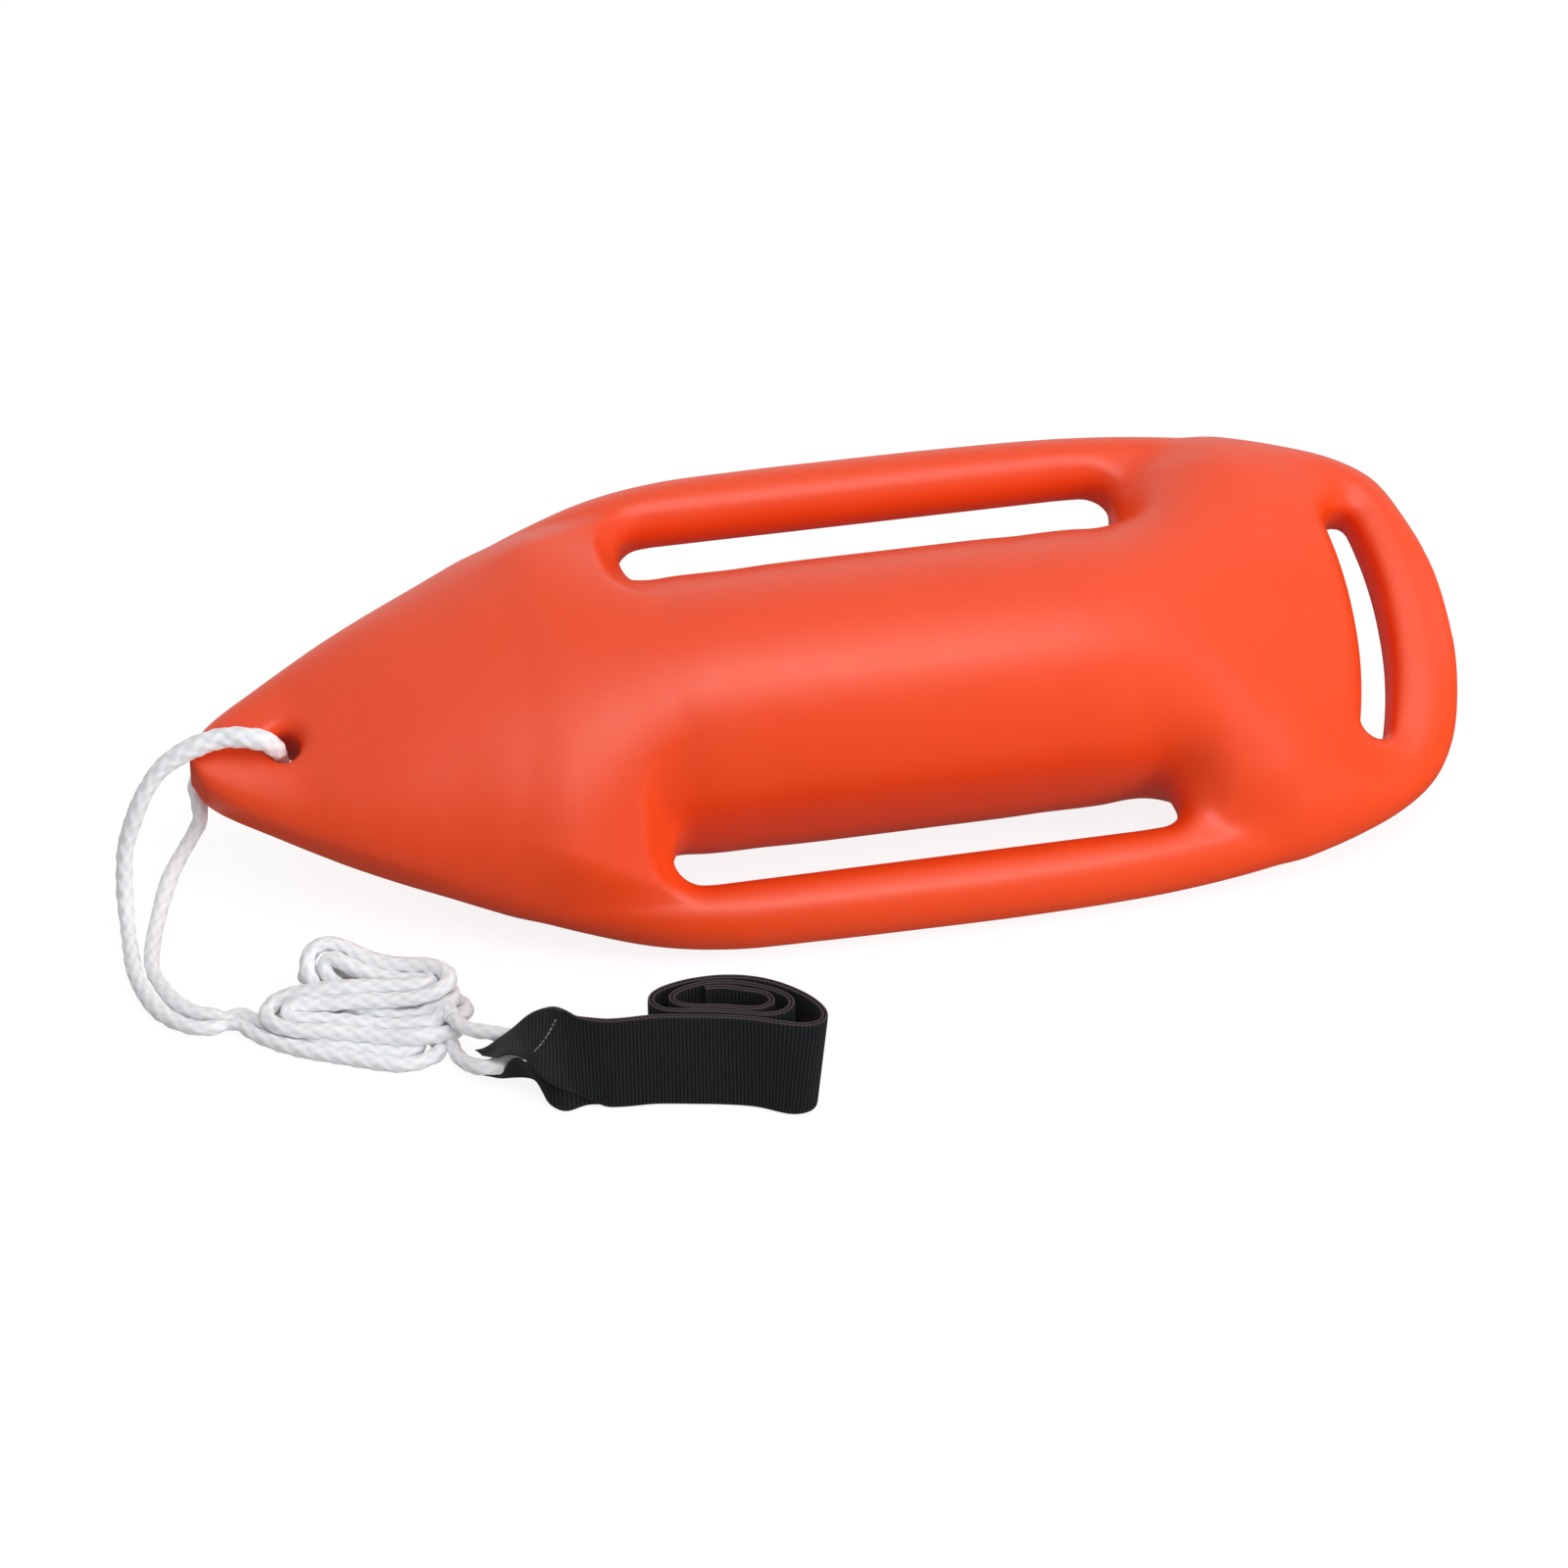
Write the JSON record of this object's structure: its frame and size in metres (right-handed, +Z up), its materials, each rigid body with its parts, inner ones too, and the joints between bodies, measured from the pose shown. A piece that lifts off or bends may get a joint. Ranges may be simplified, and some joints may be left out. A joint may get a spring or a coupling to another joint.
{
  "type": "rescue can with towline and shoulder belt",
  "caption": "Hard-shell water rescue float with a pointed hollow hull, moulded side and rear handles, a doubled towline through the nose and a rolled webbing shoulder belt.",
  "frame": {"origin": "centre of the underside of the whole object's box, on the ground it lies on", "axes": "+X along the hull from nose to tail, +Z up; the hull lies rolled over on its belly and the -Y side handle, with the line and belt on the -Y side"},
  "size_m": [0.7686, 0.3878, 0.1601],
  "materials": {
    "hull_plastic": "satin orange polyethylene with fine mould texture",
    "plug_plastic": "satin orange plug",
    "line_white": "soft twisted white line",
    "belt_black": "ribbed black webbing",
    "thread_grey": "grey sewing thread"
  },
  "bodies": {
    "hull": {"hull_shell": "hull_plastic", "vent_plug": "plug_plastic"},
    "tow_loop": {"tow_loop": "line_white"},
    "hank": {"line_hank": "line_white", "rope_bight": "line_white"},
    "eye": {"belt_eye": "belt_black", "belt_stitches": "thread_grey"},
    "belt": {"belt_coil": "belt_black"}
  },
  "joints": [
    {"name": "towline_swing", "type": "hinge", "parent": "hull", "child": "tow_loop", "pos_m": [-0.28374, 0.06233, 0.08006], "axis": [0, -0.4733, 0.8809], "range_deg": [-25, 0]},
    {"name": "hank_follow", "type": "hinge", "parent": "tow_loop", "child": "hank", "pos_m": [-0.33224, -0.06337, 0.00506], "axis": [0, -0.4733, 0.8809], "range_deg": [0, 25]},
    {"name": "eye_swing", "type": "hinge", "parent": "hank", "child": "eye", "pos_m": [-0.19394, -0.14277, 0.01606], "axis": [0, 0, 1], "range_deg": [-40, 10]},
    {"name": "belt_flex", "type": "hinge", "parent": "eye", "child": "belt", "pos_m": [-0.15194, -0.16017, 0.01606], "axis": [0, 0, 1], "range_deg": [-30, 15]}
  ],
  "couplings": [
    {"joint": "hank_follow", "follows": "towline_swing", "ratio": -1}
  ]
}
